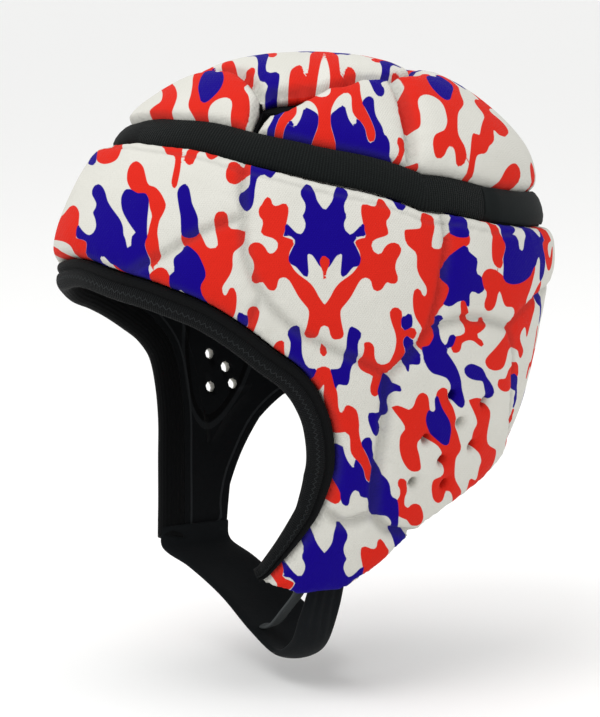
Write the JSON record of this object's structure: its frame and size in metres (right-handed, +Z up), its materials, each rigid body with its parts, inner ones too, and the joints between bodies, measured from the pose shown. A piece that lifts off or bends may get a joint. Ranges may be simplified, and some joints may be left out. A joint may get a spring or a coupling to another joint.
{
  "type": "rugby scrum cap",
  "caption": "Padded rugby scrum cap: foam pads in soft grooves over a thin lining, open at the face and the neck, with a ribbed head band, a rolled face binding and a chin strap.",
  "frame": {"origin": "the inner crown point, where the top of the wearer's head meets the lining", "axes": "+Z up through the crown, the face looking along -Y, the wearer's left side towards +X"},
  "size_m": [0.1771, 0.2219, 0.252],
  "materials": {
    "printed_cover": "matt fine knit over foam, printed in white, red and dark blue",
    "black_lining": "matt velour",
    "black_binding": "matt ribbed knit with stitching",
    "black_webbing": "matt ribbed elastic web",
    "black_strap": "matt velour with sewn edges",
    "grey_keeper": "matt tape"
  },
  "bodies": {
    "root": {"forehead_pad": "printed_cover", "occiput_pad": "printed_cover", "nape_pad": "printed_cover", "crown_front_pad": "printed_cover", "crown_top_pad": "printed_cover", "crown_rear_pad": "printed_cover", "brow_side_pad_left": "printed_cover", "brow_side_pad_right": "printed_cover", "temple_pad_left": "printed_cover", "temple_pad_right": "printed_cover", "cheek_pad_left": "printed_cover", "cheek_pad_right": "printed_cover", "ear_pad_left": "printed_cover", "ear_pad_right": "printed_cover", "jaw_pad_left": "printed_cover", "jaw_pad_right": "printed_cover", "crown_side_pad_left": "printed_cover", "crown_side_pad_right": "printed_cover", "inner_lining": "black_lining", "face_binding": "black_binding", "head_band": "black_webbing", "band_overlap": "black_webbing", "chin_strap": "black_strap", "keeper_strip_front": "grey_keeper", "keeper_strip_rear": "grey_keeper"}
  },
  "joints": []
}
